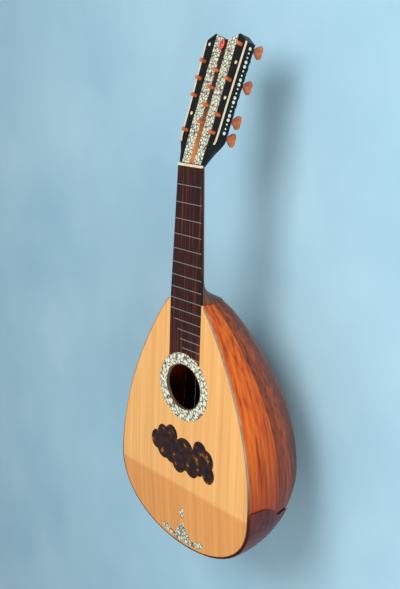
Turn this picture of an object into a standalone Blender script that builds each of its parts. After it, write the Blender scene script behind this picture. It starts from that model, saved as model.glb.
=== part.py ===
"""Mandolone: a bass mandolin with a ribbed bowl back and rear-mounted tuning pegs.

X points to the treble side, Y runs along the neck toward the head, and Z points out of the
soundboard, whose upper face is the plane z = 0. The origin is on the bridge line, on the
centre line. Sizes are in metres, written as millimetres times MM.
"""
import math

import bmesh
import bpy
from mathutils import Vector

MM = 0.001

# Clearances
GAP = 0.3 * MM
WELD = 0.002 * MM
THROUGH = 3.0 * MM

# Strings and body
SCALE_LENGTH = 560.0 * MM
BODY_FRET = 9
BODY_LENGTH = 453.0 * MM
BODY_WIDTH = 368.0 * MM
BODY_DEPTH = 208.0 * MM
TAIL_TO_WIDEST = 128.0 * MM
TAIL_TO_DEEPEST = 155.0 * MM
JOINT_WIDTH = 90.0 * MM
HEEL_DEPTH = 66.0 * MM
SHOULDER_POWER = 0.85
TAIL_WIDTH_POWER = 2.4
TAIL_DEPTH_POWER = 0.95
SECTION_POWER = 2.2
STATIONS = 30
STATION_EVENNESS = 0.45

# Soundboard and the strip round its edge
BOARD_THICKNESS = 3.2 * MM
BINDING_WIDTH = 1.8 * MM
BINDING_START = 3.0 * MM
CREASE_BELOW_BRIDGE = 4.0 * MM
CANT = math.radians(5.0)

# Ribs
RIB_THICKNESS = 2.4 * MM
SIDE_RIB_ANGLE = math.radians(18.6)
SIDE_RIB_FACETS = 4
NARROW_RIBS = 21
RIBS_END_BEFORE_TAIL = 10.0 * MM

# Tail cap, outside the ribs, with a lobed edge
CAP_THICKNESS = 1.6 * MM
CAP_CLEARANCE = 1.0 * MM
CAP_END_BEFORE_TAIL = 0.4 * MM
CAP_EDGE_AT_RIM = 12.0 * MM
CAP_EDGE_AT_BACK = -52.0 * MM
CAP_LOBES = 9
CAP_LOBE_HEIGHT = 9.0 * MM
CAP_STEPS_PER_LOBE = 5
CAP_STATIONS = 16

# Inner blocks, linings and braces
NECK_BLOCK_STATION = 2
TAIL_BLOCK_LENGTH = 36.0 * MM
TAIL_BLOCK_WIDTH = 110.0 * MM
TAIL_BLOCK_DEPTH = 60.0 * MM
LINING_WIDTH = 6.0 * MM
LINING_HEIGHT = 8.0 * MM
BRACE_WIDTH = 8.0 * MM
BRACE_HEIGHT = 13.0 * MM
BRACE_END_GAP = 1.2 * MM
BRACE_FROM_ROSETTE = 10.0 * MM
LOWER_BRACE_Y = 36.0 * MM

# Sound hole, its lining and the rosette round it
HOLE_CENTRE_Y = 180.0 * MM
HOLE_HALF_WIDTH = 47.6 * MM
HOLE_HALF_LENGTH = 39.2 * MM
HOLE_LINING_WALL = 1.2 * MM
HOLE_LINING_DEPTH = 5.0 * MM
ROSETTE_WIDTH = 20.7 * MM
ROSETTE_THICKNESS = 1.4 * MM
OVAL_SIDES = 72

# Pickguard, a cloud of round lobes: centre x, centre y, radius
GUARD_THICKNESS = 1.2 * MM
GUARD_LOBES = (
    (-73.0 * MM, 62.0 * MM, 17.5 * MM),
    (-55.0 * MM, 77.0 * MM, 17.5 * MM),
    (-31.0 * MM, 83.0 * MM, 18.0 * MM),
    (-52.0 * MM, 54.0 * MM, 21.0 * MM),
    (-30.0 * MM, 52.0 * MM, 21.5 * MM),
    (-7.0 * MM, 40.0 * MM, 20.0 * MM),
    (8.0 * MM, 58.0 * MM, 29.5 * MM),
    (31.0 * MM, 43.0 * MM, 20.0 * MM),
    (49.0 * MM, 50.0 * MM, 18.0 * MM),
    (52.0 * MM, 76.0 * MM, 19.5 * MM),
    (70.0 * MM, 66.0 * MM, 19.5 * MM),
    (76.0 * MM, 44.0 * MM, 17.0 * MM),
)
LOBE_SIDES = 28

# Crest inlay at the tail: a lozenge, and a cluster under it with a leaf each side
CREST_THICKNESS = 1.0 * MM
LOZENGE_Y = -57.0 * MM
LOZENGE_HALF_WIDTH = 8.5 * MM
LOZENGE_HALF_LENGTH = 11.0 * MM
CLUSTER_TOP_Y = -73.0 * MM
CLUSTER_BASE_Y = -114.0 * MM
CLUSTER_TOP_HALF_WIDTH = 5.0 * MM
CLUSTER_BASE_HALF_WIDTH = 30.0 * MM
LEAF_X = 48.0 * MM
LEAF_Y = -101.0 * MM
LEAF_HALF_LENGTH = 15.0 * MM
LEAF_HALF_WIDTH = 5.5 * MM
LEAF_RISE = 4.0 * MM
LOZENGE_SIDES = 16
LOZENGE_POWER = 1.2

# Fretboard, frets and nut
FINGERBOARD_THICKNESS = 4.0 * MM
EXTENSION_THICKNESS = 1.8 * MM
FINGERBOARD_HALF_AT_NUT = 31.9 * MM
FINGERBOARD_HALF_AT_JOINT = 43.1 * MM
FRETS = 15
FRET_WIDTH = 1.6 * MM
FRET_CROWN = 0.9 * MM
FRET_TANG = 0.8 * MM
FRET_CROWN_STEPS = 5
FRET_END_INSET = 0.5 * MM
PARTIAL_FRET_STARTS = {
    11: -30.0 * MM,
    12: -19.0 * MM,
    13: -12.0 * MM,
    14: -5.0 * MM,
    15: 30.0 * MM,
}
NUT_LENGTH = 4.5 * MM
NUT_RISE = 1.6 * MM
NUT_BEVEL = 0.6 * MM

# Neck and heel
NECK_DEPTH_AT_NUT = 20.0 * MM
NECK_DEPTH_AT_HEEL = 22.0 * MM
HEEL_LENGTH = 47.0 * MM
HEEL_CURVE = 3.0
NECK_SECTION_POWER = 1.35
SECTION_STEPS = 12
HEEL_STATIONS = 8

# Head, tilted back: s runs along its face from the nut, n out of the face
HEAD_TILT = math.radians(18.0)
HEAD_FACE_BELOW_BOARD = 3.0 * MM
HEAD_THICKNESS = 17.0 * MM
HEAD_FOOT_DEPTH = 20.0 * MM
HEAD_FLARE_END = 42.0 * MM
HEAD_LENGTH = 222.0 * MM
HEAD_HALF_WIDTHS = (
    (0.0 * MM, 32.0 * MM),
    (10.0 * MM, 35.0 * MM),
    (20.0 * MM, 37.5 * MM),
    (32.0 * MM, 43.5 * MM),
    (42.0 * MM, 47.3 * MM),
    (55.0 * MM, 48.4 * MM),
    (105.0 * MM, 49.3 * MM),
    (160.0 * MM, 51.6 * MM),
    (222.0 * MM, 54.0 * MM),
)
HEAD_STATIONS = 38
CHAMFER_START = 208.0 * MM
CHAMFER_HALF_WIDTH = 54.0 * MM
CHAMFER_TOP_HALF_WIDTH = 31.5 * MM
NOTCH_S = 211.0 * MM
SCALLOP_HEIGHT = 1.6 * MM

# Veneer on the head's face, and the strips inlaid in it
VENEER_THICKNESS = 2.6 * MM
INLAY_THICKNESS = 1.2 * MM
STRIPE_HALF_WIDTH = 5.5 * MM
PEARL_OUTER_AT_NUT = 25.0 * MM
PEARL_OUTER = 27.8 * MM
PEARL_STRAIGHT_FROM = 42.0 * MM
EDGE_LINE_WIDTH = 3.4 * MM
EDGE_LINE_START = 36.0 * MM
VENEER_START = 1.0 * MM

# Pegs: rows in three columns
PEG_ROWS = 6
PEG_PITCH = 29.7 * MM
PEG_FIRST_ROW = 55.0 * MM
PEG_COLUMN_FIRST = 36.5 * MM
PEG_COLUMN_LAST = 41.5 * MM
MIDDLE_PEGS = 4
TREBLE_PEG_ROWS = (0, 1, 3, 5)
BASS_PEG_ROWS = (0, 2, 3, 4)
PEG_RADIUS = 3.2 * MM
PEG_TIP_RISE = 11.0 * MM
PEG_TIP_DOME = 1.2 * MM
PEG_COLLAR_RADIUS = 4.6 * MM
PEG_COLLAR_LENGTH = 3.0 * MM
PEG_WAIST_RADIUS = 2.7 * MM
PEG_SIDES = 14
THUMB_CENTRE = 36.0 * MM
THUMB_HALF_WIDTH = 12.0 * MM
THUMB_HALF_LENGTH = 10.0 * MM
THUMB_NECK_HALF_WIDTH = 2.4 * MM
THUMB_THICKNESS = 6.0 * MM
THUMB_BEVEL = 1.6 * MM

# Places worked out from the sizes above
JOINT_Y = SCALE_LENGTH * 2.0 ** (-BODY_FRET / 12.0)
TAIL_Y = JOINT_Y - BODY_LENGTH
WIDEST_Y = TAIL_Y + TAIL_TO_WIDEST
DEEPEST_Y = TAIL_Y + TAIL_TO_DEEPEST
RIBS_END_Y = TAIL_Y + RIBS_END_BEFORE_TAIL
CREASE_Y = -CREASE_BELOW_BRIDGE
ROSETTE_HALF_WIDTH = HOLE_HALF_WIDTH + ROSETTE_WIDTH
ROSETTE_HALF_LENGTH = HOLE_HALF_LENGTH + ROSETTE_WIDTH
NECK_TOP_Z = -(FINGERBOARD_THICKNESS + GAP)
HEAD_Y = SCALE_LENGTH + NUT_LENGTH
FACE_N = -(VENEER_THICKNESS + GAP)
HOLE_RADIUS = PEG_RADIUS + GAP
SMOOTH_ANGLE = math.radians(32.0)

# Colours, as linear red, green and blue
SPRUCE = (0.78, 0.42, 0.14)
MAPLE_SIDE = (0.55, 0.10, 0.01)
MAPLE_BACK = (0.30, 0.035, 0.01)
CAP_WOOD = (0.16, 0.02, 0.02)
PALE_WOOD = (0.62, 0.45, 0.28)
BONE = (0.80, 0.72, 0.52)
PEARL = (0.78, 0.76, 0.62)
TORTOISE = (0.05, 0.012, 0.006)
ROSEWOOD = (0.07, 0.025, 0.018)
NECK_BROWN = (0.16, 0.05, 0.02)
EBONY = (0.012, 0.011, 0.012)
PEG_ORANGE = (0.68, 0.16, 0.05)


def clear_scene():
    """Remove every object that the scene starts with."""
    for item in list(bpy.data.objects):
        bpy.data.objects.remove(item, do_unlink=True)


def new_collection(name):
    """A new collection linked to the scene."""
    collection = bpy.data.collections.new(name)
    bpy.context.scene.collection.children.link(collection)
    return collection


def make_material(name, colour, roughness, metallic=0.0):
    """A Principled material with one colour."""
    material = bpy.data.materials.new(name)
    material.use_nodes = True
    shader = material.node_tree.nodes["Principled BSDF"]
    shader.inputs["Base Color"].default_value = (*colour, 1.0)
    shader.inputs["Roughness"].default_value = roughness
    shader.inputs["Metallic"].default_value = metallic
    material.diffuse_color = (*colour, 1.0)
    return material


def add_object(name, mesh, parent=None, collection=None):
    """Link a mesh as a new object."""
    item = bpy.data.objects.new(name, mesh)
    (collection or PARTS).objects.link(item)
    item.parent = parent
    return item


def finish(item, colour, roughness, metallic=0.0):
    """Give a part its own material and smooth its round faces."""
    item.data.materials.clear()
    item.data.materials.append(make_material(item.name, colour, roughness, metallic))
    item.data.shade_smooth()
    item.data.set_sharp_from_angle(angle=SMOOTH_ANGLE)
    return item


def as_cutter(item):
    """Keep an object out of the model: it only cuts or limits parts."""
    for collection in list(item.users_collection):
        collection.objects.unlink(item)
    CUTTERS.objects.link(item)
    item.hide_render = True
    item.display_type = "WIRE"
    return item


def evaluated_mesh(item):
    """A new mesh with the object's modifiers applied."""
    bpy.context.view_layer.update()
    graph = bpy.context.evaluated_depsgraph_get()
    return bpy.data.meshes.new_from_object(item.evaluated_get(graph))


def apply_modifiers(item):
    """Replace an object's mesh with its evaluated one."""
    mesh = evaluated_mesh(item)
    item.modifiers.clear()
    item.data = mesh
    return item


def boolean(item, other, operation="DIFFERENCE"):
    """Cut, join or limit an object with another, and keep the result as its mesh."""
    modifier = item.modifiers.new(operation.title(), "BOOLEAN")
    modifier.operation = operation
    modifier.solver = "EXACT"
    modifier.object = other
    return apply_modifiers(item)


def bevel_edges(item, width, segments=2):
    """Round the sharp edges of an object."""
    modifier = item.modifiers.new("Bevel", "BEVEL")
    modifier.width = width
    modifier.segments = segments
    modifier.limit_method = "ANGLE"
    return apply_modifiers(item)


def weld(mesh):
    """Join the loose caps of a converted curve to its walls."""
    shape = bmesh.new()
    shape.from_mesh(mesh)
    bmesh.ops.remove_doubles(shape, verts=shape.verts, dist=WELD)
    shape.to_mesh(mesh)
    shape.free()


def plate(name, outlines, top, thickness, parent=None):
    """A flat plate from closed outlines of (x, y) points; an outline inside another is a hole."""
    curve = bpy.data.curves.new(name, "CURVE")
    curve.dimensions = "2D"
    curve.fill_mode = "BOTH"
    curve.extrude = thickness / 2.0
    for outline in outlines:
        spline = curve.splines.new("POLY")
        spline.points.add(len(outline) - 1)
        for point, (x, y) in zip(spline.points, outline):
            point.co = (x, y, 0.0, 1.0)
        spline.use_cyclic_u = True
    guide = bpy.data.objects.new(name + "_curve", curve)
    CUTTERS.objects.link(guide)
    mesh = evaluated_mesh(guide)
    bpy.data.objects.remove(guide)
    weld(mesh)
    for vertex in mesh.vertices:
        vertex.co.z += top - thickness / 2.0
    return add_object(name, mesh, parent)


def loft(name, rings, parent=None):
    """A closed solid through rings of equally many points."""
    shape = bmesh.new()
    rows = []
    for ring in rings:
        rows.append([shape.verts.new(point) for point in ring])
    count = len(rings[0])
    for row, following in zip(rows, rows[1:]):
        for i in range(count):
            j = (i + 1) % count
            shape.faces.new((row[i], row[j], following[j], following[i]))
    shape.faces.new(rows[0])
    shape.faces.new(rows[-1])
    bmesh.ops.recalc_face_normals(shape, faces=shape.faces)
    mesh = bpy.data.meshes.new(name)
    shape.to_mesh(mesh)
    shape.free()
    return add_object(name, mesh, parent)


def box(name, low, high, parent=None):
    """A box between two corners."""
    shape = bmesh.new()
    bmesh.ops.create_cube(shape, size=1.0)
    for vertex in shape.verts:
        for axis in range(3):
            share = vertex.co[axis] + 0.5
            vertex.co[axis] = low[axis] + share * (high[axis] - low[axis])
    mesh = bpy.data.meshes.new(name)
    shape.to_mesh(mesh)
    shape.free()
    return add_object(name, mesh, parent)


def cylinders(name, rods, sides, parent=None):
    """Separate cylinders in one object, each given as (start, end, radius)."""
    shape = bmesh.new()
    for start, end, radius in rods:
        axis = Vector(end) - Vector(start)
        turn = axis.to_track_quat("Z", "Y").to_matrix().to_4x4()
        turn.translation = (Vector(start) + Vector(end)) / 2.0
        bmesh.ops.create_cone(
            shape, cap_ends=True, segments=sides, radius1=radius, radius2=radius,
            depth=axis.length, matrix=turn)
    mesh = bpy.data.meshes.new(name)
    shape.to_mesh(mesh)
    shape.free()
    return add_object(name, mesh, parent)


def turned(name, profile, sides, parent=None):
    """A turned solid from (radius, height) points, from its top down its outer side."""
    mesh = bpy.data.meshes.new(name)
    points = [(radius, 0.0, height) for radius, height in profile]
    edges = [(i, i + 1) for i in range(len(points) - 1)]
    mesh.from_pydata(points, edges, [])
    item = add_object(name, mesh, parent)
    modifier = item.modifiers.new("Screw", "SCREW")
    modifier.steps = sides
    modifier.render_steps = sides
    modifier.use_merge_vertices = True
    modifier.merge_threshold = WELD
    return apply_modifiers(item)


def oval(centre_y, half_width, half_length, sides=OVAL_SIDES):
    """Points of an oval on the centre line."""
    points = []
    for i in range(sides):
        angle = 2.0 * math.pi * i / sides
        points.append((half_width * math.cos(angle), centre_y + half_length * math.sin(angle)))
    return points


def fret_y(number):
    """Distance of a fret from the bridge line."""
    return SCALE_LENGTH * 2.0 ** (-number / 12.0)


def shoulder(y, joint_value, full_value, full_y):
    """Growth of the bowl from the joint to its fullest place."""
    share = max((JOINT_Y - y) / (JOINT_Y - full_y), 0.0)
    return joint_value + (full_value - joint_value) * math.sin(math.pi / 2.0 * share) ** SHOULDER_POWER


def half_width(y):
    """Half the body's width."""
    full = BODY_WIDTH / 2.0
    if y > WIDEST_Y:
        return shoulder(y, JOINT_WIDTH / 2.0, full, WIDEST_Y)
    share = min((WIDEST_Y - y) / TAIL_TO_WIDEST, 1.0)
    return full * math.sqrt(1.0 - share ** TAIL_WIDTH_POWER)


def cant_drop(y):
    """How far the canted part of the soundboard lies below the rest of it."""
    return max(CREASE_Y - y, 0.0) * math.tan(CANT)


def rim_level(y):
    """Height of the ribs' upper edge, just under the soundboard."""
    return -(BOARD_THICKNESS + GAP) - cant_drop(y)


def bowl_depth(y):
    """Depth of the bowl below the ribs' upper edge."""
    if y > DEEPEST_Y:
        depth = shoulder(y, HEEL_DEPTH, BODY_DEPTH, DEEPEST_Y)
    else:
        share = min((DEEPEST_Y - y) / TAIL_TO_DEEPEST, 1.0)
        depth = BODY_DEPTH * (1.0 - share ** 2) ** TAIL_DEPTH_POWER
    return depth * (1.0 + rim_level(y) / BODY_DEPTH)


def skin_point(y, angle):
    """Point of the bowl's outer face, at an angle from the treble rim round to the bass rim."""
    cosine = math.cos(angle)
    power = 2.0 / SECTION_POWER
    x = math.copysign(half_width(y) * abs(cosine) ** power, cosine)
    z = rim_level(y) - bowl_depth(y) * max(math.sin(angle), 0.0) ** power
    return Vector((x, y, z))


def skin_normal(y, angle):
    """Outward direction of the bowl's outer face."""
    small_angle = 0.004
    small_step = 0.2 * MM
    around = (skin_point(y, min(angle + small_angle, math.pi))
              - skin_point(y, max(angle - small_angle, 0.0)))
    along = (skin_point(max(y - small_step, TAIL_Y), angle)
             - skin_point(min(y + small_step, JOINT_Y), angle))
    normal = along.cross(around)
    normal.normalize()
    outward = skin_point(y, angle) - Vector((0.0, DEEPEST_Y, rim_level(y)))
    return normal if normal.dot(outward) > 0.0 else -normal


def bowl_point(y, angle, inset):
    """Point at a depth under the bowl's outer face; a negative inset lies outside it."""
    return skin_point(y, angle) - skin_normal(y, angle) * inset


def station_ys():
    """Places along the body where the ribs have their corners, closer together at the tail."""
    places = []
    for i in range(STATIONS):
        share = i / (STATIONS - 1)
        eased = STATION_EVENNESS * share + (1.0 - STATION_EVENNESS) * math.sin(math.pi / 2.0 * share)
        places.append(JOINT_Y - (JOINT_Y - RIBS_END_Y) * eased)
    return places


def rib_angles():
    """Angles of the lines between the ribs, with the two side ribs' outer limits at the rims."""
    step = (math.pi - 2.0 * SIDE_RIB_ANGLE) / NARROW_RIBS
    inner = [SIDE_RIB_ANGLE + i * step for i in range(NARROW_RIBS + 1)]
    return [0.0] + inner + [math.pi]


def gap_angle(y, angle):
    """Angle that makes half a gap between two ribs."""
    small = 0.002
    step = skin_point(y, angle + small) - skin_point(y, angle - small)
    return GAP / 2.0 * (2.0 * small) / step.length


def rib(name, low, high, facets, colour):
    """One rib between two angles."""
    rings = []
    for y in station_ys():
        first = low + (gap_angle(y, low) if low > 0.0 else 0.0)
        last = high - (gap_angle(y, high) if high < math.pi else 0.0)
        angles = [first + (last - first) * i / facets for i in range(facets + 1)]
        outer = [bowl_point(y, angle, 0.0) for angle in angles]
        inner = [bowl_point(y, angle, RIB_THICKNESS) for angle in reversed(angles)]
        rings.append(outer + inner)
    return finish(loft(name, rings), colour, 0.25)


def make_ribs():
    """Two wide side ribs and the narrow ribs between them."""
    angles = rib_angles()
    rib("rib_side_treble", angles[0], angles[1], SIDE_RIB_FACETS, MAPLE_SIDE)
    rib("rib_side_bass", angles[-2], angles[-1], SIDE_RIB_FACETS, MAPLE_SIDE)
    for i in range(NARROW_RIBS):
        rib("rib_%02d" % (i + 1), angles[i + 1], angles[i + 2], 1, MAPLE_BACK)


def make_bowl_core():
    """The space inside the ribs, which limits the blocks that fit in it."""
    low_angles = rib_angles()
    side = [SIDE_RIB_ANGLE * i / SIDE_RIB_FACETS for i in range(SIDE_RIB_FACETS)]
    angles = side + low_angles[1:-1] + [math.pi - angle for angle in reversed(side)]
    inset = RIB_THICKNESS + GAP
    rings = [[bowl_point(y, angle, inset) for angle in angles] for y in station_ys()]
    start = [Vector((point.x, JOINT_Y, point.z)) for point in rings[0]]
    end = [Vector((point.x, RIBS_END_Y, point.z)) for point in rings[-1]]
    return as_cutter(loft("bowl_core", [start] + rings + [end]))


def make_blocks(core):
    """The blocks that hold the neck and the tail, shaped to the inside of the bowl."""
    reach = BODY_WIDTH
    start = station_ys()[NECK_BLOCK_STATION]
    neck_block = box("neck_block", (-reach, start, -reach), (reach, JOINT_Y, 0.0))
    boolean(neck_block, core, "INTERSECT")
    finish(neck_block, PALE_WOOD, 0.7)
    half = TAIL_BLOCK_WIDTH / 2.0
    low = (-half, RIBS_END_Y, rim_level(RIBS_END_Y) - TAIL_BLOCK_DEPTH)
    tail_block = box("tail_block", low, (half, RIBS_END_Y + TAIL_BLOCK_LENGTH, 0.0))
    boolean(tail_block, core, "INTERSECT")
    finish(tail_block, PALE_WOOD, 0.7)


def lining_ring(y):
    """Section of the strip that glues the soundboard to a side rib, on the treble side."""
    inset = RIB_THICKNESS + GAP
    low_angle = math.asin((LINING_HEIGHT / bowl_depth(y)) ** (SECTION_POWER / 2.0))
    top = bowl_point(y, 0.0, inset)
    bottom = bowl_point(y, low_angle, inset)
    bottom.x = min(bottom.x, top.x)
    across = Vector((LINING_WIDTH, 0.0, 0.0))
    return [top, bottom, bottom - across, top - across]


def mix(first, second, share):
    """A ring between two rings."""
    return [a.lerp(b, share) for a, b in zip(first, second)]


def make_linings():
    """The strips inside the rim, one each side, between the two blocks."""
    block_end = RIBS_END_Y + TAIL_BLOCK_LENGTH
    places = [y for y in station_ys()[NECK_BLOCK_STATION:] if y > block_end + LINING_WIDTH]
    rings = [lining_ring(y) for y in places]
    rings[0] = mix(rings[0], rings[1], 0.05)
    finish(loft("lining_treble", rings), PALE_WOOD, 0.7)
    bass_rings = [[Vector((-point.x, point.y, point.z)) for point in ring] for ring in rings]
    finish(loft("lining_bass", bass_rings), PALE_WOOD, 0.7)


def make_braces():
    """Cross bars under the soundboard."""
    places = (
        ("brace_upper", HOLE_CENTRE_Y + ROSETTE_HALF_LENGTH + BRACE_FROM_ROSETTE),
        ("brace_middle", HOLE_CENTRE_Y - ROSETTE_HALF_LENGTH - BRACE_FROM_ROSETTE),
        ("brace_lower", LOWER_BRACE_Y),
    )
    top = rim_level(JOINT_Y)
    for name, y in places:
        back = y - BRACE_WIDTH / 2.0
        front = y + BRACE_WIDTH / 2.0
        narrow = min(half_width(back), half_width(front))
        half = narrow - RIB_THICKNESS - LINING_WIDTH - GAP - BRACE_END_GAP
        brace = box(name, (-half, back, top - BRACE_HEIGHT), (half, front, top))
        finish(brace, PALE_WOOD, 0.7)


def cap_edge(angle):
    """Place of the tail cap's lobed edge."""
    base = CAP_EDGE_AT_RIM + (CAP_EDGE_AT_BACK - CAP_EDGE_AT_RIM) * math.sin(angle)
    return base + CAP_LOBE_HEIGHT * abs(math.sin(CAP_LOBES * angle))


def cap_line(angle, inset):
    """Points of the tail cap from its lobed edge to the tail, at one angle."""
    start = cap_edge(angle)
    end = TAIL_Y + CAP_END_BEFORE_TAIL
    points = []
    for i in range(CAP_STATIONS + 1):
        share = math.sin(math.pi / 2.0 * i / CAP_STATIONS)
        points.append(bowl_point(start + (end - start) * share, angle, inset))
    return points


def make_tail_cap():
    """The thin shell over the tail end of the ribs."""
    steps = CAP_LOBES * CAP_STEPS_PER_LOBE
    angles = [math.pi * i / steps for i in range(steps + 1)]
    shape = bmesh.new()
    sheets = []
    for inset in (-(CAP_CLEARANCE + CAP_THICKNESS), -CAP_CLEARANCE):
        lines = [cap_line(angle, inset) for angle in angles]
        sheets.append([[shape.verts.new(point) for point in line] for line in lines])
    outer, inner = sheets
    for sheet in sheets:
        for line, following in zip(sheet, sheet[1:]):
            for i in range(CAP_STATIONS):
                shape.faces.new((line[i], following[i], following[i + 1], line[i + 1]))
        shape.faces.new([line[-1] for line in sheet])
    for i in range(steps):
        shape.faces.new((outer[i][0], outer[i + 1][0], inner[i + 1][0], inner[i][0]))
    for i in range(CAP_STATIONS):
        for side in (0, -1):
            shape.faces.new((outer[side][i], outer[side][i + 1], inner[side][i + 1], inner[side][i]))
    shape.faces.new((outer[0][-1], outer[-1][-1], inner[-1][-1], inner[0][-1]))
    bmesh.ops.recalc_face_normals(shape, faces=shape.faces)
    mesh = bpy.data.meshes.new("tail_cap")
    shape.to_mesh(mesh)
    shape.free()
    finish(add_object("tail_cap", mesh), CAP_WOOD, 0.25)


def bend_at_crease(item):
    """Fold a board's lower part down along the crease behind the bridge."""
    shape = bmesh.new()
    shape.from_mesh(item.data)
    everything = shape.verts[:] + shape.edges[:] + shape.faces[:]
    bmesh.ops.bisect_plane(
        shape, geom=everything, dist=WELD, plane_co=(0.0, CREASE_Y, 0.0), plane_no=(0.0, 1.0, 0.0))
    for vertex in shape.verts:
        vertex.co.z -= cant_drop(vertex.co.y)
    shape.to_mesh(item.data)
    shape.free()


def side_points(offset, start):
    """Points down one side of the body's outline, inset, on the ribs' own places."""
    places = [y for y in station_ys() if y < start]
    places = [start] + places
    tail_end = TAIL_Y + offset
    steps = 6
    for i in range(1, steps):
        share = math.sin(math.pi / 2.0 * i / steps)
        places.append(RIBS_END_Y + (tail_end - RIBS_END_Y) * share)
    points = []
    for y in places:
        normal = skin_normal(y, 0.0)
        points.append((half_width(y) - offset * normal.x, y - offset * normal.y))
    return points


def body_outline(offset, start):
    """The body's outline, inset by an offset, from the treble shoulder round the tail."""
    treble = side_points(offset, start)
    bass = [(-x, y) for x, y in reversed(treble)]
    return treble + [(0.0, TAIL_Y + offset)] + bass


def fingerboard_half(y):
    """Half the fretboard's width."""
    share = min((SCALE_LENGTH - y) / (SCALE_LENGTH - JOINT_Y), 1.0)
    change = FINGERBOARD_HALF_AT_JOINT - FINGERBOARD_HALF_AT_NUT
    return FINGERBOARD_HALF_AT_NUT + change * share


def extension_outline(clearance, top):
    """Outline of the fretboard's thin end on the body, from a top line to the sound hole's centre."""
    half = FINGERBOARD_HALF_AT_JOINT + clearance
    return [(-half, top), (-half, HOLE_CENTRE_Y), (half, HOLE_CENTRE_Y), (half, top)]


def lozenge_outline():
    """Outline of the crest's lozenge."""
    points = []
    for i in range(LOZENGE_SIDES):
        angle = 2.0 * math.pi * i / LOZENGE_SIDES
        cosine = abs(math.cos(angle)) ** LOZENGE_POWER
        sine = abs(math.sin(angle)) ** LOZENGE_POWER
        reach = (cosine + sine) ** (-1.0 / LOZENGE_POWER)
        x = LOZENGE_HALF_WIDTH * reach * math.cos(angle)
        y = LOZENGE_HALF_LENGTH * reach * math.sin(angle)
        points.append((x, LOZENGE_Y + y))
    return points


def cluster_outline():
    """Outline of the crest's cluster, which widens toward the tail into a leaf each side."""
    top = CLUSTER_TOP_HALF_WIDTH
    base = CLUSTER_BASE_HALF_WIDTH
    height = CLUSTER_TOP_Y - CLUSTER_BASE_Y
    right = [
        (0.0, CLUSTER_TOP_Y),
        (top, CLUSTER_TOP_Y - 0.18 * height),
        (top + 0.25 * (base - top), CLUSTER_TOP_Y - 0.34 * height),
        (top + 0.55 * (base - top), CLUSTER_TOP_Y - 0.58 * height),
        (base - top, CLUSTER_TOP_Y - 0.78 * height),
        (LEAF_X, LEAF_Y + LEAF_HALF_WIDTH),
        (LEAF_X + LEAF_HALF_LENGTH, LEAF_Y + LEAF_RISE),
        (LEAF_X + 0.4 * LEAF_HALF_LENGTH, LEAF_Y - LEAF_HALF_WIDTH),
        (base, CLUSTER_BASE_Y + 0.06 * height),
        (0.5 * base, CLUSTER_BASE_Y),
    ]
    left = [(-x, y) for x, y in reversed(right[1:])]
    return right + left


def crest_outlines():
    """Outlines of the crest's two pieces."""
    return (("crest_lozenge", lozenge_outline()), ("crest_cluster", cluster_outline()))


def make_guard(name, clearance, top, thickness):
    """The pickguard's cloud of lobes, grown by a clearance."""
    lobes = []
    for i, (x, y, radius) in enumerate(GUARD_LOBES):
        rod = ((x, y, top - thickness), (x, y, top), radius + clearance)
        lobes.append(cylinders("%s_lobe_%02d" % (name, i), [rod], LOBE_SIDES))
    guard = lobes[0]
    for lobe in lobes[1:]:
        boolean(guard, lobe, "UNION")
        bpy.data.objects.remove(lobe)
    guard.name = name
    return guard


def make_soundboard():
    """The soundboard with its hole and the pockets for everything that lies flush in it."""
    lining_reach = HOLE_LINING_WALL + GAP
    outline = body_outline(BINDING_WIDTH + GAP, JOINT_Y - BINDING_START)
    shoulder_y = JOINT_Y
    half = JOINT_WIDTH / 2.0
    outline = [(half, shoulder_y)] + outline + [(-half, shoulder_y)]
    hole = oval(HOLE_CENTRE_Y, HOLE_HALF_WIDTH + lining_reach, HOLE_HALF_LENGTH + lining_reach)
    board = plate("soundboard", [outline, hole], 0.0, BOARD_THICKNESS)
    rosette_pocket = plate(
        "rosette_pocket",
        [oval(HOLE_CENTRE_Y, ROSETTE_HALF_WIDTH + GAP, ROSETTE_HALF_LENGTH + GAP)],
        THROUGH, ROSETTE_THICKNESS + GAP + THROUGH)
    extension_pocket = plate(
        "extension_pocket", [extension_outline(GAP, JOINT_Y + THROUGH)],
        THROUGH, EXTENSION_THICKNESS + GAP + THROUGH)
    guard_pocket = make_guard("guard_pocket", GAP, THROUGH, GUARD_THICKNESS + GAP + THROUGH)
    for pocket in (rosette_pocket, extension_pocket, guard_pocket):
        boolean(board, as_cutter(pocket))
    for name, shape in crest_outlines():
        pocket = plate(name + "_pocket", [grow(shape, GAP)], THROUGH, CREST_THICKNESS + GAP + THROUGH)
        boolean(board, as_cutter(pocket))
    bend_at_crease(board)
    finish(board, SPRUCE, 0.45)


def grow(outline, distance):
    """An outline moved outward by a distance, for a pocket round an inlay."""
    area = 0.0
    count = len(outline)
    for i in range(count):
        x0, y0 = outline[i]
        x1, y1 = outline[(i + 1) % count]
        area += x0 * y1 - x1 * y0
    sign = 1.0 if area > 0.0 else -1.0
    grown = []
    for i in range(count):
        before = Vector(outline[i]) - Vector(outline[i - 1])
        after = Vector(outline[(i + 1) % count]) - Vector(outline[i])
        normal_before = Vector((before.y, -before.x)).normalized() * sign
        normal_after = Vector((after.y, -after.x)).normalized() * sign
        middle = (normal_before + normal_after).normalized()
        reach = distance / max(middle.dot(normal_after), 0.5)
        point = Vector(outline[i]) + middle * reach
        grown.append((point.x, point.y))
    return grown


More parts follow.
